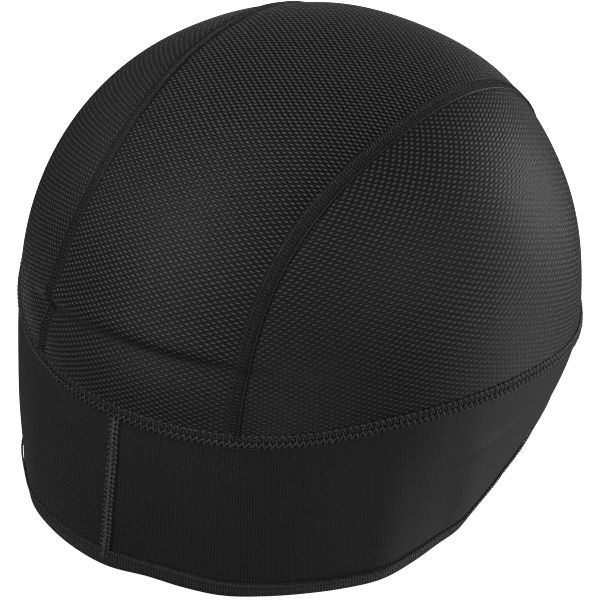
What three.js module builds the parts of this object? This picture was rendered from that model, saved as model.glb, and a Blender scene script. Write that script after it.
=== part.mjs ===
// A thin cap worn under a helmet: a dome of stretch mesh in three panels, on a jersey headband
// that is closed at the back of the head and turned up into a hem.
// Millimetres, +Z up. The front faces -Y, the wearer's left is +X, and the hem stands on z = 0.

import * as THREE from 'three'
import { mergeVertices } from 'three/addons/utils/BufferGeometryUtils.js'

// Form of the cap, measured to the outer face of the cloth
const halfLength = 95.5 // from the middle of the cap to the back of the head
const sideHeight = 57.5 // from the rim up to the crown seam, over the ear
const bandBulge = 2 // how far the headband swells between its hem and its top
const crownBase = 53 // height at which the crown is widest
const crownRise = 85.5 // from there to the top of the head
const crownSquareness = 2.4 // 2 is a plain dome, and more has fuller shoulders
const crownLean = 10.5 // how far the top sits in front of the middle
const stripWidth = 79 // of the middle panel, across the top of the head

// Cloth
const meshThickness = 1.2
const jerseyThickness = 1.6
const hemHeight = 5.2
const hemThickness = 2.8
const hemProud = 0.5

// Flat seams, which stand a little proud of both faces of the cloth
const seamWidth = 5
const backSeamWidth = 4.5
const seamThickness = 2.2
const seamProud = 0.5
const seamGap = 0.3

// Plan of the cap every 30 degrees, from the middle of the back to the middle of the front.
// Both reaches are shares of halfLength, and the height of the crown seam is one of sideHeight.
const sections = [
  { place: 'back', seamReach: 0.97, rimReach: 1.01, seamHeight: 1.0 },
  { place: 'back, off the middle', seamReach: 0.945, rimReach: 0.98, seamHeight: 1.01 },
  { place: 'behind the ear', seamReach: 0.93, rimReach: 0.9, seamHeight: 1.06 },
  { place: 'over the ear', seamReach: 0.95, rimReach: 0.785, seamHeight: 1.0 },
  { place: 'temple', seamReach: 0.985, rimReach: 0.81, seamHeight: 0.83 },
  { place: 'brow, off the middle', seamReach: 0.99, rimReach: 0.985, seamHeight: 0.74 },
  { place: 'brow', seamReach: 0.97, rimReach: 1.01, seamHeight: 0.715 },
]

// Width of the middle panel over the head as a share of stripWidth, every 45 degrees of arch from
// back to front
const stripSections = [
  { place: 'back', width: 0.975 },
  { place: 'back of the crown', width: 0.935 },
  { place: 'top', width: 1 },
  { place: 'front of the crown', width: 1 },
  { place: 'front', width: 0.86 },
]

// Soft hollows in the crown. The turn is counted from the wearer's left to the back, and the rise,
// the spread up and down and the depth are shares of crownRise.
const hollows = [
  { place: 'crease over the back seam', turn: 100, arc: 42, rise: 0.345, spread: 0.076, depth: 0.016 },
  { place: 'flat over the right temple', turn: 215, arc: 24, rise: 0.62, spread: 0.234, depth: 0.014 },
  { place: 'flat over the left temple', turn: 325, arc: 24, rise: 0.62, spread: 0.234, depth: 0.014 },
]

// How finely the pieces are meshed
const archSteps = 30
const stripSteps = 10
const sideSteps = 10
const ringSteps = 60
const bandSteps = 4

const crownCentre = new THREE.Vector3(0, 0, crownBase)

function mix(from, to, share) {
  return from + (to - from) * share
}

// A smooth curve through four even values, at a share of the way from the second to the third
function smooth(before, from, to, after, share) {
  const slopeFrom = (to - before) / 2
  const slopeTo = (after - from) / 2
  const square = share * share
  const cube = square * share
  return (2 * cube - 3 * square + 1) * from + (cube - 2 * square + share) * slopeFrom
    + (3 * square - 2 * cube) * to + (cube - square) * slopeTo
}

// One column of a table of even rows, read at a share of its length. The table is taken to turn
// back on itself at both ends, so that the curve leaves them level.
function readTable(rows, column, share) {
  const last = rows.length - 1
  const position = Math.min(Math.max(share, 0), 1) * last
  const row = Math.min(Math.floor(position), last - 1)
  const before = rows[Math.abs(row - 1)][column]
  const after = rows[last - Math.abs(last - row - 2)][column]
  return smooth(before, rows[row][column], rows[row + 1][column], after, position - row)
}

// Angles in plan are counted from the wearer's left (+X) towards the back (+Y).
function readSection(column, angle) {
  return readTable(sections, column, 0.5 - Math.asin(Math.sin(angle)) / Math.PI)
}

function stripHalf(arch) {
  return stripWidth / 2 * readTable(stripSections, 'width', arch / Math.PI)
}

function seamHeight(angle) {
  return sideHeight * readSection('seamHeight', angle)
}

function seamReach(angle) {
  return halfLength * readSection('seamReach', angle)
}

function lean(rise) {
  return crownLean * (rise / crownRise) ** 2
}

// How deep the hollows are at an angle in plan and a height over the base of the crown
function hollowDepth(angle, rise) {
  let depth = 0
  for (const hollow of hollows) {
    const turned = angle - THREE.MathUtils.degToRad(hollow.turn)
    const away = Math.atan2(Math.sin(turned), Math.cos(turned)) / THREE.MathUtils.degToRad(hollow.arc)
    const up = (rise / crownRise - hollow.rise) / hollow.spread
    depth += hollow.depth * Math.exp(-(away ** 4) - up * up)
  }
  return depth * crownRise
}

// The outer face of the crown in one direction from the middle of its base
function crownPoint(direction) {
  let reach = halfLength
  let angle = 0
  let rise = 0
  for (let pass = 0; pass < 8; pass++) {
    rise = Math.max(direction.z * reach, 0)
    const x = direction.x * reach
    const y = direction.y * reach + lean(rise)
    angle = Math.atan2(y, x)
    const plan = (Math.hypot(x, y) / seamReach(angle)) ** crownSquareness
    reach /= (plan + (rise / crownRise) ** crownSquareness) ** (1 / crownSquareness)
  }
  return direction.clone().multiplyScalar(reach - hollowDepth(angle, rise)).add(crownCentre)
}

// The same face at an angle in plan and a height, near its foot where it has no hollows
function crownFoot(angle, height) {
  const rise = Math.max(height - crownBase, 0)
  const shrink = (1 - (rise / crownRise) ** crownSquareness) ** (1 / crownSquareness)
  const reach = seamReach(angle) * shrink
  return new THREE.Vector3(reach * Math.cos(angle), reach * Math.sin(angle) - lean(rise), height)
}

// The crown under an arch from ear to ear: the arch leans from flat at the back (0) over the top
// to flat at the front (pi), x is the place along it, and shift moves on from there by the cloth.
function archPoint(arch, x, shift) {
  let reach = halfLength
  let tilt = 0
  for (let pass = 0; pass < 5; pass++) {
    tilt = Math.asin(x / reach)
    reach = crownPoint(archDirection(arch, tilt)).distanceTo(crownCentre)
  }
  return crownPoint(archDirection(arch, tilt + shift / reach))
}

function archDirection(arch, tilt) {
  const flat = Math.cos(tilt)
  return new THREE.Vector3(Math.sin(tilt), flat * Math.cos(arch), flat * Math.sin(arch))
}

// Half the width of the crown seam and the slit beside it, where the crown's own pieces start
const seamMargin = seamWidth / 2 + seamGap

// The arch at which a line over the crown comes down to the crown seam
function archAtSeam(lineAt, high, low) {
  let above = high
  let below = low
  for (let pass = 0; pass < 30; pass++) {
    const middle = (above + below) / 2
    const point = lineAt(middle)
    const clear = point.z - seamHeight(Math.atan2(point.y, point.x)) - seamMargin
    if (clear > 0) above = middle
    else below = middle
  }
  return above
}

// A line from back to front over the crown, stopped at both ends by the crown seam
function crownLine(lineAt) {
  const back = archAtSeam(lineAt, Math.PI / 4, -Math.PI / 12)
  const front = archAtSeam(lineAt, Math.PI * 3 / 4, Math.PI * 13 / 12)
  return (share) => lineAt(mix(back, front, share))
}

// The outer face of the headband at an angle in plan and a height
function bandPoint(angle, height) {
  const share = height / seamHeight(angle)
  const swell = bandBulge * 4 * share * (1 - share)
  const rim = halfLength * readSection('rimReach', angle)
  const foot = new THREE.Vector3(rim * Math.cos(angle), rim * Math.sin(angle), 0)
  const top = crownFoot(angle, seamHeight(angle))
  const point = foot.lerp(top, share)
  point.x += swell * Math.cos(angle)
  point.y += swell * Math.sin(angle)
  point.z = height
  return point
}

// Ways out of the cap: level from the headband, and from the middle of its base on the crown
function bandOut(angle) {
  return new THREE.Vector3(Math.cos(angle), Math.sin(angle), 0)
}

function crownOut(point) {
  return point.clone().sub(crownCentre).normalize()
}

function crownFace(point) {
  return { point, out: crownOut(point) }
}

function bandFace(angle, height) {
  return { point: bandPoint(angle, height), out: bandOut(angle) }
}

// One closed piece of cloth. faceAt gives a point of its outer face and the way out for a share
// along and a share across, and the piece reaches from outside that face to inside it.
function clothPiece(name, material, along, across, outside, inside, closed, faceAt) {
  const outer = []
  const inner = []
  for (let i = 0; i <= along; i++) {
    for (let j = 0; j <= across; j++) {
      const { point, out } = faceAt(i / along, j / across)
      outer.push(point.clone().addScaledVector(out, outside))
      inner.push(point.clone().addScaledVector(out, -inside))
    }
  }
  const corners = [...outer, ...inner]
  const innerStart = outer.length
  const at = (i, j) => i * (across + 1) + j
  const triangles = []
  const quad = (a, b, c, d) => triangles.push([a, b, c], [a, c, d])
  for (let i = 0; i < along; i++) {
    for (let j = 0; j < across; j++) {
      const ring = [at(i, j), at(i + 1, j), at(i + 1, j + 1), at(i, j + 1)]
      quad(...ring)
      quad(...ring.map((corner) => corner + innerStart).reverse())
    }
    quad(at(i + 1, 0), at(i, 0), at(i, 0) + innerStart, at(i + 1, 0) + innerStart)
    quad(at(i, across), at(i + 1, across), at(i + 1, across) + innerStart, at(i, across) + innerStart)
  }
  if (!closed) {
    for (let j = 0; j < across; j++) {
      quad(at(0, j), at(0, j + 1), at(0, j + 1) + innerStart, at(0, j) + innerStart)
      quad(at(along, j + 1), at(along, j), at(along, j) + innerStart, at(along, j + 1) + innerStart)
    }
  }
  const geometry = closedGeometry(corners, triangles)
  const mesh = new THREE.Mesh(geometry, material)
  mesh.name = name
  return mesh
}

// Corners that meet become one, triangles that this leaves without an area go, and the faces are
// turned the way that encloses the cloth.
function closedGeometry(corners, triangles) {
  const loose = new THREE.BufferGeometry().setFromPoints(corners)
  loose.setIndex(triangles.flat())
  const joined = mergeVertices(loose, 1e-3)
  const place = (corner) => new THREE.Vector3().fromBufferAttribute(joined.attributes.position, corner)
  const source = joined.index.array
  const kept = []
  let volume = 0
  for (let start = 0; start < source.length; start += 3) {
    const [a, b, c] = [source[start], source[start + 1], source[start + 2]]
    if (a !== b && b !== c && c !== a) {
      kept.push([a, b, c])
      volume += place(a).dot(place(b).cross(place(c)))
    }
  }
  if (volume < 0) kept.forEach((triangle) => triangle.reverse())
  joined.setIndex(kept.flat())
  joined.computeVertexNormals()
  return joined
}

const meshCloth = new THREE.MeshStandardMaterial({ color: 0x2a2a2c, roughness: 0.75, metalness: 0 })
const jersey = new THREE.MeshStandardMaterial({ color: 0x1c1c1e, roughness: 0.8, metalness: 0 })
const seamThread = new THREE.MeshStandardMaterial({ color: 0x232325, roughness: 0.7, metalness: 0 })

const cap = new THREE.Group()

// Middle panel of the crown, from the back over the top to the front
function buildCenterPanel() {
  const lineAcross = (share) => crownLine((arch) => {
    const side = 2 * share - 1
    return archPoint(arch, side * stripHalf(arch), -side * seamMargin)
  })
  const lines = new Map()
  return clothPiece('crown_center_panel', meshCloth, archSteps, stripSteps, 0, meshThickness, false,
    (along, across) => {
      if (!lines.has(across)) lines.set(across, lineAcross(across))
      return crownFace(lines.get(across)(along))
    })
}

// Side panel: its upper edge follows the seam of the middle panel, its lower edge the crown seam
function buildSidePanel(name, side) {
  const upper = crownLine((arch) => archPoint(arch, stripHalf(arch), seamMargin))
  const backCorner = upper(0)
  const frontCorner = upper(1)
  const backAngle = Math.atan2(backCorner.y, backCorner.x)
  const frontAngle = Math.atan2(frontCorner.y, frontCorner.x)
  return clothPiece(name, meshCloth, archSteps, sideSteps, 0, meshThickness, false,
    (along, across) => {
      const angle = mix(backAngle, frontAngle, along)
      const low = crownOut(crownFoot(angle, seamHeight(angle) + seamMargin))
      const direction = crownOut(upper(along)).lerp(low, across).normalize()
      direction.x *= side
      return crownFace(crownPoint(direction))
    })
}

// Seam between the middle panel and a side panel
function buildCrownSeam(name, side) {
  const lines = [-1, 0, 1].map((edge) => crownLine((arch) => (
    archPoint(arch, side * stripHalf(arch), edge * seamWidth / 2))))
  return clothPiece(name, seamThread, archSteps, lines.length - 1, seamProud, seamThickness - seamProud,
    false, (along, across) => crownFace(lines[across * (lines.length - 1)](along)))
}

// Seam all the way round, which joins the crown to the headband
function buildBandSeam() {
  return clothPiece('seam_crown_band', seamThread, ringSteps, 2, seamProud, seamThickness - seamProud,
    true, (along, across) => {
      const angle = Math.PI / 2 + along * Math.PI * 2
      const height = seamHeight(angle) + (across - 0.5) * seamWidth
      return across < 0.5 ? bandFace(angle, height) : crownFace(crownFoot(angle, height))
    })
}

// How far a place in plan turns when it moves sideways along the headband
function turnFor(distance, height) {
  return distance / bandPoint(Math.PI / 2, height).length()
}

// Headband, open at the middle of the back, from the hem up to the crown seam
function buildHeadband() {
  return clothPiece('headband', jersey, ringSteps, bandSteps, 0, jerseyThickness, false,
    (along, across) => {
      const low = hemHeight + seamGap
      const turn = turnFor(backSeamWidth / 2 + seamGap, mix(low, sideHeight, across))
      const angle = mix(Math.PI / 2 + turn, Math.PI * 5 / 2 - turn, along)
      return bandFace(angle, mix(low, seamHeight(angle) - seamMargin, across))
    })
}

// Seam that closes the headband
function buildBackSeam() {
  return clothPiece('seam_back', seamThread, bandSteps, 2, seamProud, seamThickness - seamProud, false,
    (along, across) => {
      const low = hemHeight + seamGap
      const turn = turnFor((across - 0.5) * backSeamWidth, mix(low, sideHeight, along))
      const angle = Math.PI / 2 + turn
      return bandFace(angle, mix(low, seamHeight(angle) - seamMargin, along))
    })
}

// Folded hem, which stands flat on the ground
function buildHem() {
  return clothPiece('hem', jersey, ringSteps, 2, hemProud, hemThickness - hemProud, true,
    (along, across) => bandFace(Math.PI / 2 + along * Math.PI * 2, across * hemHeight))
}

cap.add(
  buildCenterPanel(),
  buildSidePanel('crown_side_left', 1),
  buildSidePanel('crown_side_right', -1),
  buildCrownSeam('seam_crown_left', 1),
  buildCrownSeam('seam_crown_right', -1),
  buildBandSeam(),
  buildHeadband(),
  buildBackSeam(),
  buildHem(),
)

export default cap
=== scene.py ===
# Cap worn under a helmet, seen from behind and above: three panels of stretch mesh on a jersey
# headband, joined by flat seams. Metres, +Z up. The front faces -Y, the wearer's left is +X.
import math

import bmesh
import bpy
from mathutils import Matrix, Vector, noise


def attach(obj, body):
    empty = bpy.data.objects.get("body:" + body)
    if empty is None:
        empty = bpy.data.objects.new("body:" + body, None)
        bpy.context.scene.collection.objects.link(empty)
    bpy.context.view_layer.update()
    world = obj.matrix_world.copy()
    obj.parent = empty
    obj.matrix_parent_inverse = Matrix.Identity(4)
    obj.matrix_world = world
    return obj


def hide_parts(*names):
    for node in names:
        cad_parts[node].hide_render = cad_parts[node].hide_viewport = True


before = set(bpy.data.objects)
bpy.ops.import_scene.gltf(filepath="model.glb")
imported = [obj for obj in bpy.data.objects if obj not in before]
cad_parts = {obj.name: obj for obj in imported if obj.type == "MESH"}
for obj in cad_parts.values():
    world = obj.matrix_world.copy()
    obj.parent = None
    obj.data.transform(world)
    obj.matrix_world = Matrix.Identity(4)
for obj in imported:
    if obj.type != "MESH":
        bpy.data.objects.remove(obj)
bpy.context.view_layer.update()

mm = 0.001
print("frame loaded, nodes:", len(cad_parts))

# Form of the cap, to the outer face of the cloth. The rows run every 30 degrees in plan, from
# the middle of the back to the middle of the front.
capForm = {
    "halfLength": 95.5 * mm,
    "sideHeight": 57.5 * mm,
    "bandBulge": 2 * mm,
    "crownBase": 53 * mm,
    "crownRise": 85.5 * mm,
    "crownSquareness": 2.4,
    "crownLean": 10.5 * mm,
    "stripWidth": 79 * mm,
    "seamReach": (0.97, 0.945, 0.93, 0.95, 0.985, 0.99, 0.97),
    "rimReach": (1.01, 0.98, 0.9, 0.785, 0.81, 0.985, 1.01),
    "seamHeight": (1.0, 1.01, 1.06, 1.0, 0.83, 0.74, 0.715),
    "stripShares": (0.975, 0.935, 1, 1, 0.86),  # every 45 degrees of arch, back to front
}
# How far the sewing strays from its even course, in millimetres. Turns are degrees round from the
# back, positive on the wearer's right.
strays = {
    # outwards from the middle panel, every 22.5 degrees of arch
    "leftSeam": (-0.7, -2.0, -2.1, -1.4, 0.0, 0.0, 0.0, 0.0, 0.0),
    "rightSeam": (0.4, 1.8, 1.9, 1.9, 1.9, 1.7, 1.2, 0.6, 0.0),
    "backSeam": (0.6, 1.9, 2.2, 2.1, 1.3),  # towards the wearer's right, from the hem up
    "bandSeamRise": 1.7,  # at the back
    "bandSeamSpread": math.radians(25),
    "bandSeamDrop": 0.4,  # everywhere
    "leftBulge": 0.7,  # of the band, on the wearer's left
    "leftBulgeTurns": (-40, -60, -90, -110),  # where it starts, is full, wanes and ends
    "hemTurns": (-48, 104),  # the ends of the two rows below, one value every 8 degrees
    "hemOut": (-3.0, -1.8, -1.0, 1.0, 1.3, 1.3, 0.9, -1.4, -0.5, 0.8, 0.3, 0.2, 0.9, 1.7, 0.2,
               -0.3, 0.9, 0.0, -0.8, -1.5),
    "hemRidge": (6.2, 6.2, 6.2, 6.6, 6.8, 7.0, 7.2, 6.3, 6.4, 5.6, 5.0, 4.8, 4.7, 4.8, 5.6,
                 5.7, 5.4, 4.7, 5.0, 5.0),
}
crownCentre = Vector((0, 0, capForm["crownBase"]))
backTurn = math.pi / 2  # angles in plan run from the wearer's left to the back


def blend(start, end, share):
    return start + (end - start) * share


def ramp(value, low, high):  # from 0 at the first to 1 at the second, which may be the lower
    share = min(max((value - low) / (high - low), 0), 1)
    return share * share * (3 - 2 * share)


def hill(distance, spread):
    return math.exp(-(distance / spread) ** 2)


def readRow(row, share):  # a smooth curve through even values, level at both ends
    last = len(row) - 1
    place = min(max(share, 0), 1) * last
    first = min(int(place), last - 1)
    before, start = row[abs(first - 1)], row[first]
    end, after = row[first + 1], row[last - abs(last - first - 2)]
    part = place - first
    square, cube = part * part, part ** 3
    return ((2 * cube - 3 * square + 1) * start + (cube - 2 * square + part) * (end - before) / 2
            + (3 * square - 2 * cube) * end + (cube - square) * (after - start) / 2)


def readPlan(name, angle):
    return readRow(capForm[name], 0.5 - math.asin(math.sin(angle)) / math.pi)


def seamReach(angle):
    return capForm["halfLength"] * readPlan("seamReach", angle)


def fromBack(angle):  # radians round from the back, positive on the wearer's right
    return math.atan2(-math.cos(angle), math.sin(angle))


def seamHeight(angle):
    rise = strays["bandSeamRise"] * hill(fromBack(angle), strays["bandSeamSpread"])
    height = capForm["sideHeight"] * readPlan("seamHeight", angle)
    return height + (rise - strays["bandSeamDrop"]) * mm


def hemRow(name, angle):
    first, last = strays["hemTurns"]
    return readRow(strays[name], (math.degrees(fromBack(angle)) - first) / (last - first)) * mm


def stripHalf(arch, side):
    stray = readRow(strays["leftSeam" if side > 0 else "rightSeam"], arch / math.pi) * mm
    return capForm["stripWidth"] / 2 * readRow(capForm["stripShares"], arch / math.pi) + stray


def crownLean(rise):
    return capForm["crownLean"] * (rise / capForm["crownRise"]) ** 2


# The fold over the back of the head, and the softer shapes of the crown
crownFolds = {
    # degrees, positive on the wearer's left: the ends of the two rows below, one value every 15
    "foldTilts": (30, -60),
    "foldArch": (16.6, 17.6, 18.6, 19.4, 21.0, 22.6, 25.0),
    "foldStrength": (1.4, 1.2, 1.0, 1.0, 0.6, 0.3, 0.0),
    "foldStarts": (-0.04, 0.08),  # shares along the rows between which it comes up
    "foldLimit": 30 * mm,  # farther off it is too faint to count
    "foldDepth": 1.5 * mm,
    "foldSpread": 1.7 * mm,  # steep above, gentle below
    "foldSpreadBelow": 6.5 * mm,
    "foldCalm": 0.9,  # how far the painted glint and the floats' bump fade in the shaded fold
    "foldCalmSpread": 2.6 * mm,
    "rollHeight": 0.5 * mm,  # the cloth over the fold hangs out in a roll
    "rollAbove": 5 * mm,
    "rollSpread": 4 * mm,
    "templeTurns": (215, 325),
    "templeDepth": 1.2 * mm,
    "templeSpread": math.radians(24),
    "templeRise": 0.62,  # shares of the crown's rise
    "templeRiseSpread": 0.234,
    "seamSink": 0.12 * mm,  # the cloth dips to the seams
    "seamSinkSpread": 4 * mm,
}


def foldPlace(arch, tilt, reach):  # the share along the fold, and the distance above it
    first, last = crownFolds["foldTilts"]
    share = (first - math.degrees(tilt)) / (first - last)
    return share, (arch - math.radians(readRow(crownFolds["foldArch"], share))) * reach


def foldDepth(arch, tilt, reach):
    share, above = foldPlace(arch, tilt, reach)
    if share > 1 or abs(above) > crownFolds["foldLimit"]:
        return 0
    spread = crownFolds["foldSpread" if above > 0 else "foldSpreadBelow"]
    groove = crownFolds["foldDepth"] * hill(above, spread)
    raised = hill(above - crownFolds["rollAbove"], crownFolds["rollSpread"])
    strength = readRow(crownFolds["foldStrength"], share) * ramp(share, *crownFolds["foldStarts"])
    return strength * (groove - crownFolds["rollHeight"] * raised)


def templeDepth(angle, rise):
    depth = 0
    for turn in crownFolds["templeTurns"]:
        turned = angle - math.radians(turn)
        away = math.atan2(math.sin(turned), math.cos(turned)) / crownFolds["templeSpread"]
        up = rise / capForm["crownRise"] - crownFolds["templeRise"]
        up /= crownFolds["templeRiseSpread"]
        depth += crownFolds["templeDepth"] * math.exp(-away ** 4 - up * up)
    return depth


def crownReach(direction):
    square = capForm["crownSquareness"]
    reach, angle, rise = capForm["halfLength"], 0, 0
    for attempt in range(8):
        rise = max(direction.z * reach, 0)
        x, y = direction.x * reach, direction.y * reach + crownLean(rise)
        angle = math.atan2(y, x)
        plan = (math.hypot(x, y) / seamReach(angle)) ** square
        reach /= (plan + (rise / capForm["crownRise"]) ** square) ** (1 / square)
    return reach - templeDepth(angle, rise)


def crownPoint(direction):
    reach = crownReach(direction)
    arch, tilt = math.atan2(direction.z, direction.y), math.asin(direction.x)
    return crownCentre + direction * (reach - foldDepth(arch, tilt, reach))


def crownFoot(angle, height):
    rise = max(height - capForm["crownBase"], 0)
    square = capForm["crownSquareness"]
    reach = seamReach(angle) * (1 - (rise / capForm["crownRise"]) ** square) ** (1 / square)
    return Vector((reach * math.cos(angle), reach * math.sin(angle) - crownLean(rise), height))


def bandPoint(angle, height):
    share = height / seamHeight(angle)
    rim = capForm["halfLength"] * readPlan("rimReach", angle) + hemRow("hemOut", angle)
    level = Vector((math.cos(angle), math.sin(angle), 0))
    point = (level * rim).lerp(crownFoot(angle, seamHeight(angle)), share)
    turned = math.degrees(fromBack(angle))
    start, full, wane, end = strays["leftBulgeTurns"]
    bulge = strays["leftBulge"] * mm * ramp(turned, start, full) * ramp(turned, end, wane)
    point += level * (capForm["bandBulge"] + bulge) * 4 * share * (1 - share)
    point.z = height
    return point


# The arch leans from flat at the back over the top to flat at the front, the tilt goes sideways.
def archDirection(arch, tilt):
    flat = math.cos(tilt)
    return Vector((math.sin(tilt), flat * math.cos(arch), flat * math.sin(arch)))


def archTilt(arch, x):
    tilt, reach = 0, capForm["halfLength"]
    for attempt in range(5):
        tilt = math.asin(x / reach)
        reach = crownReach(archDirection(arch, tilt))
    return tilt, reach


def archPoint(arch, x, shift):
    tilt, reach = archTilt(arch, x)
    return crownPoint(archDirection(arch, tilt + shift / reach))


def archAtSeam(lineAt, high, low, margin):
    for attempt in range(24):
        middle = (high + low) / 2
        point = lineAt(middle)
        if point.z - seamHeight(math.atan2(point.y, point.x)) > margin:
            high = middle
        else:
            low = middle
    return high


def archEnds(lineAt, margin):  # where a line over the crown comes down to the crown seam
    back = archAtSeam(lineAt, math.pi / 4, -math.pi / 12, margin)
    return back, archAtSeam(lineAt, math.pi * 3 / 4, math.pi * 13 / 12, margin)


# Pieces of cloth


def linkPiece(name, data):
    piece = bpy.data.objects.new(name, data)
    bpy.context.scene.collection.objects.link(piece)
    for face in data.polygons:
        face.use_smooth = True
    return piece


def finishMesh(name, mesh):
    data = bpy.data.meshes.new(name)
    mesh.to_mesh(data)
    mesh.free()
    return linkPiece(name, data)


def faceOutwards(mesh):
    mesh.normal_update()
    facing = sum(face.normal.dot(face.calc_center_median() - crownCentre) * face.calc_area()
                 for face in mesh.faces)
    if facing < 0:
        bmesh.ops.reverse_faces(mesh, faces=mesh.faces)


# faceAt, clothAt and calmAt take the shares along and across a grid
def clothSheet(name, along, across, faceAt, clothAt, calmAt=None, closed=False):
    mesh = bmesh.new()
    cloth = mesh.loops.layers.uv.new("cloth")
    calm = mesh.verts.layers.float.new("calm")
    bmesh.ops.create_grid(mesh, x_segments=along, y_segments=across, size=0.5)
    shares = {}
    for vert in mesh.verts:
        shares[vert.index] = (vert.co.x + 0.5, vert.co.y + 0.5)
    for face in mesh.faces:
        for loop in face.loops:
            loop[cloth].uv = clothAt(*shares[loop.vert.index])
    for vert in mesh.verts:
        place = shares[vert.index]
        if calmAt:
            vert[calm] = calmAt(*place)
        vert.co = faceAt(*place)
    if closed:
        bmesh.ops.remove_doubles(mesh, verts=mesh.verts, dist=0.01 * mm)
    faceOutwards(mesh)
    return finishMesh(name, mesh)


def addWall(piece, thickness):
    wall = piece.modifiers.new("wall", "SOLIDIFY")
    wall.thickness = thickness
    wall.offset = -1
    wall.use_even_offset = False


def dress(piece, material, slot, *nodes):
    piece.data.materials.clear()
    piece.data.materials.append(material)
    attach(piece, "root")
    if nodes:
        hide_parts(*nodes)


# Shader maths: a Wire wraps a socket, so that an expression on wires adds its Math nodes


class Wire:
    def __init__(self, sheet, socket):
        self.sheet = sheet
        self.socket = socket

    def maths(self, operation, *values):
        return self.sheet.add("ShaderNodeMath", {"operation": operation}, dict(enumerate(values)))

    def __add__(self, other):
        return self.maths("ADD", self, other)

    def __radd__(self, other):
        return self.maths("ADD", other, self)

    def __sub__(self, other):
        return self.maths("SUBTRACT", self, other)

    def __rsub__(self, other):
        return self.maths("SUBTRACT", other, self)

    def __mul__(self, other):
        return self.maths("MULTIPLY", self, other)

    def __rmul__(self, other):
        return self.maths("MULTIPLY", other, self)

    def cosine(self):
        return self.maths("COSINE", self)


class NodeSheet:
    def __init__(self, name):
        self.material = bpy.data.materials.new(name)
        self.material.use_nodes = True
        self.tree = self.material.node_tree
        self.tree.nodes.clear()

    def add(self, kind, settings=None, values=None, output=0):
        node = self.tree.nodes.new(kind)
        for key, value in (settings or {}).items():
            setattr(node, key, value)
        for key, value in (values or {}).items():
            if isinstance(value, Wire):
                self.tree.links.new(value.socket, node.inputs[key])
            else:
                node.inputs[key].default_value = value
        return Wire(self, node.outputs[output]) if node.outputs else None

    def part(self, vector, axis):
        return self.add("ShaderNodeSeparateXYZ", None, {0: vector}, axis)

    def noise(self, vector, scale, detail=2.0):
        return self.add("ShaderNodeTexNoise", None,
                        {"Vector": vector, "Scale": scale, "Detail": detail, "Roughness": 0.5})

    def step(self, value, low, high):
        return self.add("ShaderNodeMapRange", {"interpolation_type": "SMOOTHSTEP"},
                        {"Value": value, "From Min": low, "From Max": high})

    def mixColours(self, factor, first, second):
        return self.add("ShaderNodeMix", {"data_type": "RGBA"}, {0: factor, 6: first, 7: second}, 2)

    def finish(self, colour, roughness, height, depth, gloss):
        bump = self.add("ShaderNodeBump", None,
                        {"Height": height, "Distance": depth, "Strength": 1.0})
        shader = self.add("ShaderNodeBsdfPrincipled", None,
                          {"Base Color": colour, "Roughness": roughness, "Normal": bump})
        node = shader.socket.node
        for key, value in gloss.items():
            node.inputs[key].default_value = value
        self.add("ShaderNodeOutputMaterial", None, {"Surface": shader})
        return self.material


def grey(value):
    return (value, value, value, 1)


def waves(place, often):  # so many waves to one unit of the place
    return (place * (2 * math.pi * often)).cosine()


# Pitches and drifts of the cloths are in millimetres of cloth
meshCloth = {
    "columnPitch": 3.2,  # from float to float of the knit
    "rowPitch": 2.04,
    "columnDrift": 0.5,  # how far the columns and rows wander, and how often
    "columnDriftScale": 0.35,
    "rowDrift": 0.4,
    "rowDriftScale": 0.5,
    "courseShare": 1.2,
    "columnShare": 0.35,
    "floatDepth": 0.045 * mm,
    "fibreScale": 3.5,
    "fibreDepth": 0.04,
    # The floats and holes are the real knit; the light colour is painted glint on the floats, the
    # dark colour painted shade in the holes
    "dark": grey(0.005),
    "light": grey(0.155),
    "darkAt": -0.4,
    "lightAt": 3.8,
    "roughness": 0.5,
    "fibreRoughness": 0.1,
    "calming": 0.8,
    "calmShare": 0.17,  # between dark and light: the even colour where the painted glint and hole shade fade out
    "gloss": {"Specular IOR Level": 0.25, "Sheen Weight": 0.2, "Sheen Roughness": 0.35,
              "Sheen Tint": grey(1)},
}


def makeMeshCloth():
    look = meshCloth
    sheet = NodeSheet("mesh_cloth")
    cloth = sheet.add("ShaderNodeUVMap", {"uv_map": "cloth"})
    calm = sheet.add("ShaderNodeAttribute", {"attribute_name": "calm"}, None, 2)
    drift = sheet.noise(cloth, look["columnDriftScale"], 1.0) * look["columnDrift"]
    column = (sheet.part(cloth, 0) + drift) * (1 / look["columnPitch"])
    drift = sheet.noise(cloth, look["rowDriftScale"], 1.0) * look["rowDrift"]
    row = (sheet.part(cloth, 1) + drift) * (1 / look["rowPitch"])
    floats = waves(row + column, 1) + waves(row - column, 1)
    floats = floats + waves(row, 2) * look["courseShare"] + waves(column, 2) * look["columnShare"]
    still = look["calming"] * calm
    fibre = sheet.noise(cloth, look["fibreScale"])
    # Colour follows the floats: painted glint where they stand up, painted shade in the holes; calm
    # fades both along with the bump
    share = sheet.step(floats, look["darkAt"], look["lightAt"])
    share = share * (1 - still) + look["calmShare"] * still
    colour = sheet.mixColours(share, look["dark"], look["light"])
    height = floats * (1 - still) + fibre * look["fibreDepth"]
    roughness = look["roughness"] + (fibre - 0.5) * look["fibreRoughness"]
    return sheet.finish(colour, roughness, height, look["floatDepth"], look["gloss"])


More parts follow.
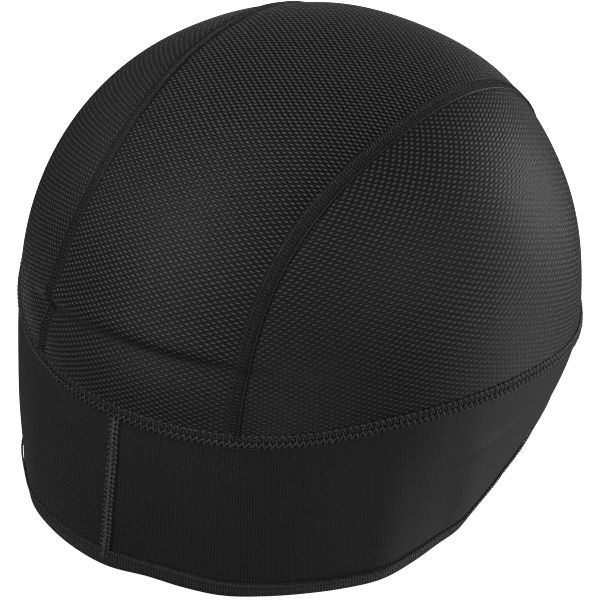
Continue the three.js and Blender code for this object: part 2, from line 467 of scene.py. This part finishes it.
jersey = {
    "walePitch": 0.88,
    "waleDrift": 0.6,
    "waleDriftScale": 0.25,
    "waleHeight": 1.0,
    "coursePitch": 0.8,
    "courseLean": 0.3,
    "courseHeight": 0.15,
    "fibreScale": 4.0,
    "fibreHeight": 0.25,
    "fibreRoughness": 0.12,
    "patchScale": 0.06,
    "patchShare": 0.2,  # of the colour, random tone; the rest is by wale: painted light on the crests, painted shade between them
    "depth": 0.15 * mm,
    "calming": 0.85,  # of the wales, where the cloth is drawn smooth
    "fibreCalming": 0.6,
    "light": grey(0.026),
    "dark": grey(0.004),
    "roughness": 0.62,
    "gloss": {"Specular IOR Level": 0.4, "Sheen Weight": 0.08, "Sheen Roughness": 0.5,
              "Sheen Tint": grey(1)},
}

# The hem's copy of the band jersey, with deeper ribs, coloured lighter as painted light on the
# hem's fold
hemJerseyPaintedLighter = dict(jersey, waleHeight=1.6, light=grey(0.065), dark=grey(0.010))


def makeJersey(look, name):
    sheet = NodeSheet(name)
    cloth = sheet.add("ShaderNodeUVMap", {"uv_map": "cloth"})
    calm = sheet.add("ShaderNodeAttribute", {"attribute_name": "calm"}, None, 2)
    across = sheet.part(cloth, 0) + sheet.noise(cloth, look["waleDriftScale"]) * look["waleDrift"]
    along = sheet.part(cloth, 1)
    wale = waves(across, 1 / look["walePitch"]) * (0.5 - 0.5 * look["calming"] * calm) + 0.5
    course = waves(along + wale * look["courseLean"], 1 / look["coursePitch"]) * 0.5 + 0.5
    fibre = sheet.noise(cloth, look["fibreScale"])
    patch = sheet.noise(cloth, look["patchScale"])
    fine = course * look["courseHeight"] + fibre * look["fibreHeight"]
    height = wale * look["waleHeight"] + fine * (1 - look["fibreCalming"] * calm)
    # The wales' crests are painted lighter and the hollows between them darker, as light and shade
    # on the ribs; the patches are random tone
    share = wale * (1 - look["patchShare"]) + patch * look["patchShare"]
    colour = sheet.mixColours(share, look["dark"], look["light"])
    roughness = look["roughness"] + (fibre - 0.5) * look["fibreRoughness"]
    return sheet.finish(colour, roughness, height, look["depth"], look["gloss"])


bandThread = {
    "light": grey(0.085),
    "dark": grey(0.02),
    "roughness": 0.42,
    "mottleScale": 900.0,
    "mottleDetail": 2.0,
    "mottleDepth": 0.05 * mm,
    "mottleRoughness": 0.1,
    "gloss": {"Specular IOR Level": 0.5, "Sheen Weight": 0.1, "Sheen Roughness": 0.4,
              "Sheen Tint": grey(1)},
}

crownThread = dict(bandThread, light=grey(0.045), dark=grey(0.006))
backThread = dict(bandThread, light=grey(0.14), dark=grey(0.035))

tapeLook = {
    "light": grey(0.006),
    "dark": grey(0.002),
    "roughness": 0.6,
    "mottleScale": 700.0,
    "mottleDetail": 3.0,
    "mottleDepth": 0.25 * mm,
    "mottleRoughness": 0.1,
    "gloss": {"Specular IOR Level": 0.35, "Sheen Weight": 0.05, "Sheen Roughness": 0.5,
              "Sheen Tint": grey(1)},
}


def makeYarn(look, name):
    sheet = NodeSheet(name)
    place = sheet.add("ShaderNodeTexCoord", None, None, 3)
    mottle = sheet.noise(place, look["mottleScale"], look["mottleDetail"])
    colour = sheet.mixColours(mottle, look["dark"], look["light"])
    roughness = look["roughness"] + mottle * look["mottleRoughness"]
    return sheet.finish(colour, roughness, mottle, look["mottleDepth"], look["gloss"])


meshMaterial = makeMeshCloth()
jerseyMaterial = makeJersey(jersey, "jersey")
hemMaterial = makeJersey(hemJerseyPaintedLighter, "hem_jersey_painted_lighter")
crownThreadMaterial = makeYarn(crownThread, "crown_thread")
bandThreadMaterial = makeYarn(bandThread, "band_thread")
backThreadMaterial = makeYarn(backThread, "back_thread")
tapeMaterial = makeYarn(tapeLook, "seam_tape")
print("materials made")

# Crown panels
seams = {
    "width": 5 * mm,
    "backWidth": 4.5 * mm,
    "thickness": 2 * mm,
    "tuck": 0.9 * mm,  # how far the cloth runs in under a seam
}
panels = {
    "along": 320,
    "across": 60,
    "sideAcross": 52,
    "thickness": 1.1 * mm,
    "calmWidth": 1.5 * mm,  # beside the seams, where no float shows
    "belowFold": 0.5,  # how calm the knit is drawn there
    "overFold": 0.3,
    "foldLevel": (18, 21),  # degrees of arch, below and over the fold
    "openLevel": (35, 60),  # degrees of arch between which the knit opens up
    "leftCalm": 0.5,  # of the side panels
    "rightCalm": 0.35,
    "rightCalmest": 0.85,  # around the place that follows, lit from the front, where the painted glint fades
    "rightCalmArch": math.radians(25),
    "rightCalmTilt": math.radians(-41),
    "rightCalmSpread": math.radians(17),
    "archBow": -0.0015,  # rows of the middle panel bend towards the back at its edges, per mm
    "archStretch": 4.5,  # millimetres: the knit is drawn out over the top of the head
    "sideCentre": math.radians(58),
    "sideRadius": 92,  # millimetres of cloth to a radian from there
    "sideDepth": 75 * mm,
    "columnFan": 0.0038,  # columns of the side panels spread upwards, per mm
    "fanLevel": 15,  # millimetres above the middle, where the columns stand even
    "rowShrink": 0.0022,  # their rows close up upwards, sag and lean
    "rowSag": 0.0027,
    "rowLean": 0.02,
}
panelEdge = seams["width"] / 2 - seams["tuck"]


def seamSink(distance):
    return crownFolds["seamSink"] * hill(distance, crownFolds["seamSinkSpread"])


def makeCentrePanel():
    rows = {}

    def lineFor(across):
        side = 2 * across - 1

        def pointAt(arch):
            x = blend(-stripHalf(arch, -1), stripHalf(arch, 1), across)
            return archPoint(arch, x, -side * panelEdge)
        return pointAt, archEnds(pointAt, panelEdge)

    def faceAt(along, across):
        pointAt, ends = rows[round(across * panels["across"])]
        point = pointAt(blend(ends[0], ends[1], along))
        edge = min(across, 1 - across) * capForm["stripWidth"]
        out = (point - crownCentre).normalized()
        return point - out * seamSink(edge)

    def clothAt(along, across):
        pointAt, ends = rows[round(across * panels["across"])]
        arch = blend(ends[0], ends[1], along)
        side = blend(-stripHalf(arch, -1), stripHalf(arch, 1), across) / mm
        length = capForm["halfLength"] * arch / mm + panels["archStretch"] * math.sin(2 * arch)
        return side, length + panels["archBow"] * side ** 2

    def calmAt(along, across):
        edge = min(across, 1 - across) * capForm["stripWidth"]
        pointAt, ends = rows[round(across * panels["across"])]
        arch = blend(ends[0], ends[1], along)
        x = blend(-stripHalf(arch, -1), stripHalf(arch, 1), across)
        tilt = math.asin(x / capForm["halfLength"])
        share, above = foldPlace(arch, tilt, capForm["halfLength"])
        fold = readRow(crownFolds["foldStrength"], share)
        fold = min(fold * hill(above, crownFolds["foldCalmSpread"]), 1) * crownFolds["foldCalm"]
        over = ramp(math.degrees(arch), *panels["foldLevel"])
        low = blend(panels["belowFold"], panels["overFold"], over)
        low = blend(low, 0, ramp(math.degrees(arch), *panels["openLevel"]))
        return max(1 - ramp(edge, 0, panels["calmWidth"]), fold, low)

    for key in range(panels["across"] + 1):
        rows[key] = lineFor(key / panels["across"])
    panel = clothSheet("crown_center_panel_cloth", panels["along"], panels["across"],
                       faceAt, clothAt, calmAt)
    addWall(panel, panels["thickness"])
    dress(panel, meshMaterial, "mesh_cloth", "crown_center_panel")


def makeSidePanel(name, node, side):
    def upperAt(arch):
        return archPoint(arch, stripHalf(arch, side), panelEdge)
    ends = archEnds(upperAt, panelEdge)
    corners = [upperAt(arch) for arch in ends]
    turns = [math.atan2(corner.y, corner.x) for corner in corners]
    uppers = {}
    for step in range(panels["along"] + 1):
        share = step / panels["along"]
        uppers[step] = (upperAt(blend(ends[0], ends[1], share)) - crownCentre).normalized()
    middle = Vector((side * math.sin(panels["sideCentre"]), 0, math.cos(panels["sideCentre"])))
    front = Vector((0, -1, 0))
    up = Vector((-side * middle.z, 0, abs(middle.x)))

    def directionAt(along, across):
        angle = blend(turns[0], turns[1], along)
        foot = crownFoot(angle, seamHeight(angle) + panelEdge)
        low = (foot - crownCentre).normalized()
        direction = uppers[round(along * panels["along"])].lerp(low, across).normalized()
        return Vector((direction.x * side, direction.y, direction.z))

    def edgeDistance(along, across):
        return min(across, 1 - across, along, 1 - along) * panels["sideDepth"]

    def faceAt(along, across):
        direction = directionAt(along, across)
        return crownPoint(direction) - direction * seamSink(edgeDistance(along, across))

    # Cloth laid out around the middle of the panel
    def clothAt(along, across):
        direction = directionAt(along, across)
        away = math.acos(min(direction.dot(middle), 1))
        flat = (direction - middle * direction.dot(middle)).normalized()
        flat *= away * panels["sideRadius"]
        forward, upward = flat.dot(front), flat.dot(up)
        fan = 1 + panels["columnFan"] * (upward - panels["fanLevel"])
        level = upward * (1 - panels["rowShrink"] * upward) + panels["rowLean"] * forward
        return side * forward * fan, level - panels["rowSag"] * forward ** 2

    def calmAt(along, across):
        seam = 1 - ramp(edgeDistance(along, across), 0, panels["calmWidth"])
        if side > 0:
            return max(seam, panels["leftCalm"])
        direction = directionAt(along, across)
        calm = archDirection(panels["rightCalmArch"], panels["rightCalmTilt"])
        away = math.acos(min(direction.dot(calm), 1))
        near = hill(away, panels["rightCalmSpread"])
        return max(seam, blend(panels["rightCalm"], panels["rightCalmest"], near))

    panel = clothSheet(name, panels["along"], panels["sideAcross"], faceAt, clothAt, calmAt)
    addWall(panel, panels["thickness"])
    dress(panel, meshMaterial, "mesh_cloth", node)


makeCentrePanel()
print("middle panel made")
makeSidePanel("crown_side_left_cloth", "crown_side_left", 1)
makeSidePanel("crown_side_right_cloth", "crown_side_right", -1)
print("side panels made")


# Seam routes: places with the ways over or under the seam and out of the cloth. A route's swing
# says how far its stitches swing at a share of its length.


def fullSwing(share):
    return 1


def makeRoute(places, closed=False, swingAt=fullSwing):
    distance = 0
    route = {"closed": closed, "stops": [], "swingAt": swingAt}
    for number, place in enumerate(places):
        if number:
            distance += (place["point"] - places[number - 1]["point"]).length
        route["stops"].append(dict(place, distance=distance))
    route["length"] = distance
    return route


def routePoint(route, distance, offset, lift):
    stops = route["stops"]
    if route["closed"]:
        distance %= route["length"]
    distance = min(max(distance, 0), route["length"])
    low, high = 0, len(stops) - 1
    while high - low > 1:
        middle = (low + high) // 2
        if stops[middle]["distance"] > distance:
            high = middle
        else:
            low = middle
    before, after = stops[low], stops[high]
    share = (distance - before["distance"]) / (after["distance"] - before["distance"])
    sideName = "over" if offset > 0 else "under"
    point = before["point"].lerp(after["point"], share)
    side = before[sideName].lerp(after[sideName], share)
    out = before["out"].lerp(after["out"], share)
    return point + side * offset + out * lift


def crownRoute(side):
    def pointAt(arch):
        return archPoint(arch, side * stripHalf(arch, side), 0)
    back, front = archEnds(pointAt, seams["width"] / 2 - seams["tuck"])
    steps = 400
    points = [pointAt(blend(back, front, step / steps)) for step in range(steps + 1)]
    places = []
    for step, point in enumerate(points):
        out = (point - crownCentre).normalized()
        ahead = points[min(step + 1, steps)] - points[max(step - 1, 0)]
        over = out.cross(ahead).normalized() * -side  # towards the side panel
        if over.x * side < 0:
            over = -over
        square = over.cross(ahead).normalized()
        if square.dot(out) < 0:
            square = -square
        places.append({"point": point, "over": over, "under": over, "out": square})
    return makeRoute(places)


bandSeam = {
    "outRise": 0.15,  # how far the way out of the seam points up
    "straightTurns": (-8, -20),  # degrees from the back: the stitches lie straighter beyond
    "straightSwing": 0.3,
}


def bandSwing(share):
    turned = math.degrees(math.remainder(2 * math.pi * share, 2 * math.pi))
    return blend(1, bandSeam["straightSwing"], ramp(turned, *bandSeam["straightTurns"]))


def bandRoute():
    places = []
    steps = 720
    reach = seams["width"] / 2
    for step in range(steps + 1):
        angle = backTurn + 2 * math.pi * step / steps
        height = seamHeight(angle)
        point = crownFoot(angle, height)
        over = (crownFoot(angle, height + reach) - point).normalized()
        under = (point - bandPoint(angle, height - reach)).normalized()
        out = Vector((math.cos(angle), math.sin(angle), bandSeam["outRise"])).normalized()
        places.append({"point": point, "over": over, "under": under, "out": out})
    return makeRoute(places, True, bandSwing)


backSeam = {
    "lean": 2 * mm,  # the seam strays towards the wearer's left at the hem
    "from": 4.4 * mm,  # the height where it starts
}


def backAngle(height):
    share = height / capForm["sideHeight"]
    stray = readRow(strays["backSeam"], share) * mm - backSeam["lean"] * (1 - share)
    return backTurn + stray / capForm["halfLength"]


def backRoute():
    places = []
    steps = 60
    top = seamHeight(backTurn) - seams["width"] / 2 + seams["tuck"]
    for step in range(steps + 1):
        height = blend(backSeam["from"], top, step / steps)
        angle = backAngle(height)
        over = Vector((-math.sin(angle), math.cos(angle), 0))  # towards the wearer's right
        out = Vector((math.cos(angle), math.sin(angle), 0))
        places.append({"point": bandPoint(angle, height), "over": over, "under": over, "out": out})
    return makeRoute(places)


def hemRoute(out):
    places = []
    up = Vector((0, 0, 1))
    steps = 720
    for step in range(steps + 1):
        angle = backTurn + 2 * math.pi * step / steps
        level = Vector((math.cos(angle), math.sin(angle), 0))
        point = bandPoint(angle, hemRow("hemRidge", angle)) + level * out
        places.append({"point": point, "over": up, "under": up, "out": level})
    return makeRoute(places, True)


# A seam's tape is a strip along its route. A profile gives its height over the cloth, in
# millimetres by millimetres from the middle.
def seamTape(name, route, width, profile, steps, across=24):
    def faceAt(along, sideways):
        offset = (sideways - 0.5) * width
        return routePoint(route, along * route["length"], offset, profile(offset / mm) * mm)

    def clothAt(along, sideways):
        return (sideways - 0.5) * width / mm, along * route["length"] / mm
    tape = clothSheet(name, steps, across, faceAt, clothAt, None, route["closed"])
    addWall(tape, seams["thickness"])
    return tape


def crownProfile(offset):
    return 0.35 - 0.5 * ramp(abs(offset), 1.6, 2.5) - 0.15 * hill(offset + 0.7, 0.4)


def bandProfile(offset):
    return 0.4 - 0.55 * ramp(abs(offset), 1.8, 2.5) - 0.15 * hill(offset, 0.4)


def backProfile(offset):
    return 0.35 - 0.45 * ramp(abs(offset), 1.5, 2.25) + 0.25 * hill(offset + 0.25, 0.5)


threadWaver = {
    "height": 0.05,  # millimetres that a thread strays from its lift, and how often
    "often": 700,
    "rowOffset": 3,  # keeps the rows apart in the noise
}


# Threads: each row swings from side to side of its middle while it runs on
def threadRow(curve, route, row):
    count = max(round(route["length"] / (row["pitch"] * mm)), 1)
    pitch = route["length"] / count
    steps = row.get("steps", 8)
    points = []
    for step in range(count * steps + 1):
        turn = 2 * math.pi * step / steps
        swing = row["swing"] * route["swingAt"](step / (count * steps))
        offset = (row["middle"] + swing * math.cos(turn)) * mm
        distance = pitch * (step / steps + row.get("slant", 0) * math.cos(turn))
        lift = row["lift"] - row.get("sink", 0) * max(-math.sin(turn), 0)
        apart = row["middle"] * threadWaver["rowOffset"]
        place = Vector((distance * threadWaver["often"], apart, 0))
        lift += threadWaver["height"] * noise.noise(place)
        points.append(routePoint(route, distance, offset, lift * mm))
    spline = curve.splines.new("POLY")
    spline.points.add(len(points) - 1)
    for spot, point in zip(spline.points, points):
        spot.co = (*point, 1)
        spot.radius = row["radius"]


def threadPiece(name, material, route, rows):
    curve = bpy.data.curves.new(name, "CURVE")
    curve.dimensions = "3D"
    curve.bevel_depth = mm
    curve.bevel_resolution = 1
    curve.use_fill_caps = True
    for row in rows:
        threadRow(curve, route, row)
    loose = bpy.data.objects.new(name + "_curve", curve)
    bpy.context.scene.collection.objects.link(loose)
    bpy.context.view_layer.update()
    graph = bpy.context.evaluated_depsgraph_get()
    data = bpy.data.meshes.new_from_object(loose.evaluated_get(graph))
    bpy.data.objects.remove(loose)
    data.name = name
    dress(linkPiece(name, data), material, "seam_thread")


# Pitch, middle, swing, lift, sink of the return stroke and radius are in millimetres, and the slant
# is a share of the pitch
crownThreads = [
    {"pitch": 1.2, "middle": -1.15, "swing": 0.7, "slant": -0.15,
     "lift": 0.25, "sink": 0.5, "radius": 0.25},
    {"pitch": 1.2, "middle": 0.35, "swing": 0.6, "slant": 0.15,
     "lift": 0.3, "sink": 0.5, "radius": 0.24},
    {"pitch": 3.1, "middle": 1.95, "swing": 0.08,
     "lift": 0.35, "radius": 0.22},
    {"pitch": 3.1, "middle": -2.1, "swing": 0.08,
     "lift": 0.05, "radius": 0.14},
]
bandThreads = [
    {"pitch": 2.1, "middle": -0.9, "swing": 0.8, "slant": 0.2,
     "lift": 0.5, "sink": 0.1, "radius": 0.36},
    {"pitch": 1.05, "middle": 0.7, "swing": 0.4, "slant": 0.25,
     "lift": 0.4, "sink": 0.3, "radius": 0.26},
    {"pitch": 2.1, "middle": 1.8, "swing": 0.5, "slant": 0.25,
     "lift": 0.3, "sink": 0.2, "radius": 0.32},
    {"pitch": 1.05, "middle": -2.3, "swing": 0.08,
     "lift": 0.15, "radius": 0.14},
]
backThreads = [
    {"pitch": 1.6, "middle": -0.2, "swing": 0.45, "slant": 0.1,
     "lift": 0.6, "radius": 0.5},
    {"pitch": 1.8, "middle": 1.1, "swing": 0.45, "slant": 0.3,
     "lift": 0.4, "sink": 0.2, "radius": 0.32},
    {"pitch": 2.0, "middle": -1.7, "swing": 0.45, "slant": 0.3,
     "lift": 0.2, "sink": 0.2, "radius": 0.24},
]
hemThreads = [
    {"pitch": 0.95, "middle": 0.0, "swing": 0.45, "slant": 0.1,
     "lift": 0.35, "sink": 0.2, "radius": 0.26, "steps": 6},
]

for side, sideName in ((1, "left"), (-1, "right")):
    route = crownRoute(side)
    tape = seamTape("seam_crown_" + sideName + "_tape", route, seams["width"], crownProfile, 300)
    dress(tape, tapeMaterial, "seam_thread", "seam_crown_" + sideName)
    threadPiece("stitches_crown_" + sideName, crownThreadMaterial, route, crownThreads)
bandPath = bandRoute()
tape = seamTape("seam_crown_band_tape", bandPath, seams["width"], bandProfile, 720, 16)
dress(tape, tapeMaterial, "seam_thread", "seam_crown_band")
threadPiece("stitches_crown_band", bandThreadMaterial, bandPath, bandThreads)
backPath = backRoute()
tape = seamTape("seam_back_tape", backPath, seams["backWidth"], backProfile, 60, 20)
dress(tape, tapeMaterial, "seam_thread", "seam_back")
threadPiece("stitches_back", backThreadMaterial, backPath, backThreads)
print("seams made")

# Headband
band = {
    "along": 480,
    "across": 40,
    "thickness": 1.5 * mm,
    "clothRadius": 88,  # millimetres of cloth to a radian round the head
    "waviness": 0.25 * mm,
    "waveScale": 28,  # waves to a metre
    "waveSquash": 1.6,  # how much closer they lie upwards
    "foldHeight": 36.5 * mm,  # a soft fold on the wearer's right
    "foldDepth": 0.6 * mm,
    "foldSpread": 2.2 * mm,
    "foldFrom": 70,  # degrees round from the back
    "foldTo": 115,
    "foldFade": 14,
    "smoothRight": (35, 62),  # degrees from the back between which the wales fade
    "smoothLeft": (-8, -25),
    "hemTuck": 0.8 * mm,
}
hem = {
    "overRidge": 1.0 * mm,
    "thickness": 2.8 * mm,
    "proud": 0.5 * mm,
    "along": 720,
    "around": 28,
    "squareness": 3.0,
    "grooveDepth": 0.9 * mm,  # the dark line under the ridge
    "grooveSpread": 0.4 * mm,
    "clothGirth": 14,  # millimetres of cloth round the fold
}


def hemTop(angle):
    return hemRow("hemRidge", angle) + hem["overRidge"]


def makeHeadband():
    inset = (seams["backWidth"] / 2 - seams["tuck"]) / capForm["halfLength"]

    def placeAt(along, across):
        turn = backTurn + 2 * math.pi * along
        height = blend(hemTop(turn) - band["hemTuck"], seamHeight(turn) - panelEdge, across)
        start = backAngle(height) + inset
        end = backAngle(height) + 2 * math.pi - inset
        return blend(start, end, along), height

    def faceAt(along, across):
        angle, height = placeAt(along, across)
        point = bandPoint(angle, min(height, seamHeight(angle)))
        level = Vector((math.cos(angle), math.sin(angle), 0))
        calm = math.sin(math.pi * across)
        place = Vector((point.x, point.y, point.z * band["waveSquash"])) * band["waveScale"]
        wave = noise.noise(place)
        turned = math.degrees(fromBack(angle))
        length = ramp(turned, band["foldFrom"], band["foldFrom"] + band["foldFade"])
        length *= ramp(turned, band["foldTo"], band["foldTo"] - band["foldFade"])
        fold = length * band["foldDepth"] * hill(height - band["foldHeight"], band["foldSpread"])
        return point + level * (wave * band["waviness"] * calm + fold)

    def clothAt(along, across):
        angle, height = placeAt(along, across)
        return (angle - backTurn) * band["clothRadius"], height / mm

    def calmAt(along, across):
        turned = math.degrees(fromBack(placeAt(along, across)[0]))
        return max(ramp(turned, *band["smoothRight"]), ramp(turned, *band["smoothLeft"]))

    piece = clothSheet("headband_cloth", band["along"], band["across"], faceAt, clothAt, calmAt)
    addWall(piece, band["thickness"])
    dress(piece, jerseyMaterial, "jersey", "headband")


def makeHem():
    wales = round(2 * math.pi * band["clothRadius"] / jersey["walePitch"])  # whole, so they close

    def faceAt(along, over):
        angle = backTurn + 2 * math.pi * along
        turn = 2 * math.pi * over
        level = Vector((math.cos(angle), math.sin(angle), 0))
        wide, tall = math.cos(turn), math.sin(turn)
        power = 2 / hem["squareness"]
        outward = math.copysign(abs(wide) ** power, wide) * hem["thickness"] / 2
        height = (1 + math.copysign(abs(tall) ** power, tall)) * hemTop(angle) / 2
        if wide > 0:
            below = height - hemRow("hemRidge", angle) + hem["overRidge"]
            outward -= hem["grooveDepth"] * hill(below, hem["grooveSpread"])
        point = bandPoint(angle, height)
        return point + level * (outward + hem["proud"] - hem["thickness"] / 2)

    def clothAt(along, over):
        return along * wales * jersey["walePitch"], over * hem["clothGirth"]

    piece = clothSheet("hem_fold", hem["along"], hem["around"], faceAt, clothAt, None, True)
    dress(piece, hemMaterial, "jersey", "hem")


makeHeadband()
makeHem()
threadPiece("stitches_hem", bandThreadMaterial, hemRoute(hem["proud"]), hemThreads)
print("headband and hem made")

# Floor, light and camera
stage = {
    "floorSize": 4.0,
    "floor": grey(0.8),
    "floorGlow": 0.92,
    "world": 1.0,
    "lightSize": 0.8,
    "lightDistance": 1.5,
    "lights": [  # turn and rise in degrees as the camera's own, power in watts
        {"name": "left", "turn": 167, "rise": 14, "power": 4.1},
        {"name": "top", "turn": 132, "rise": 62, "power": 8.5},
        {"name": "right", "turn": 336, "rise": 6, "power": 8.7},
        {"name": "highRight", "turn": 270, "rise": 35, "power": 4.6},
        {"name": "lowRight", "turn": 307, "rise": -25, "power": 5.0},
        {"name": "low", "turn": 217, "rise": -25, "power": 2.8},
        {"name": "farLeft", "turn": 92, "rise": 30, "power": 1.6},
    ],
}


def onSphere(turn, rise, distance):
    turn, rise = math.radians(turn), math.radians(rise)
    return distance * Vector((math.sin(turn) * math.cos(rise), -math.cos(turn) * math.cos(rise),
                              math.sin(rise)))


def makeFloor():
    mesh = bmesh.new()
    bmesh.ops.create_grid(mesh, x_segments=1, y_segments=1, size=stage["floorSize"])
    floor = finishMesh("floor", mesh)
    sheet = NodeSheet("floor")
    shader = sheet.add("ShaderNodeBsdfPrincipled", None,
                       {"Base Color": stage["floor"], "Roughness": 0.9, "Emission Color": grey(1),
                        "Emission Strength": stage["floorGlow"]})
    sheet.add("ShaderNodeOutputMaterial", None, {"Surface": shader})
    floor.data.materials.append(sheet.material)
    # The low lights shine up through the floor, whose own glow stays off the dark cloth
    floor.visible_shadow = False
    floor.visible_diffuse = False
    floor.visible_glossy = False


def makeLights():
    world = bpy.data.worlds.new("studio")
    world.use_nodes = True
    world.node_tree.nodes["Background"].inputs["Color"].default_value = grey(1)
    world.node_tree.nodes["Background"].inputs["Strength"].default_value = stage["world"]
    world.cycles_visibility.diffuse = False
    world.cycles_visibility.glossy = False
    bpy.context.scene.world = world
    for light in stage["lights"]:
        data = bpy.data.lights.new(light["name"], "AREA")
        data.shape = "DISK"
        data.size = stage["lightSize"]
        data.energy = light["power"]
        lamp = bpy.data.objects.new("light_" + light["name"], data)
        bpy.context.scene.collection.objects.link(lamp)
        place = onSphere(light["turn"], light["rise"], stage["lightDistance"])
        lamp.location = crownCentre + place
        lamp.rotation_euler = (-place).to_track_quat("-Z", "Y").to_euler()


view = {
    "turn": 217.484,
    "rise": 34.397,
    "distance": 1.7,
    "target": Vector((-7.35, 5.62, 56.96)) * mm,
    "lens": 313.5,  # millimetres, on a 36 mm sensor
}


def makeCamera():
    data = bpy.data.cameras.new("camera")
    data.sensor_width = 36
    data.lens = view["lens"]
    data.clip_end = 20
    camera = bpy.data.objects.new("camera", data)
    bpy.context.scene.collection.objects.link(camera)
    place = onSphere(view["turn"], view["rise"], view["distance"])
    camera.location = view["target"] + place
    camera.rotation_euler = (-place).to_track_quat("-Z", "Y").to_euler()
    bpy.context.scene.camera = camera


makeFloor()
makeLights()
makeCamera()
bpy.context.scene.view_settings.view_transform = "Standard"
bpy.context.scene.cycles.use_denoising = False  # it smears the weave
bpy.context.scene.cycles.filter_width = 1.1
print("stage made")
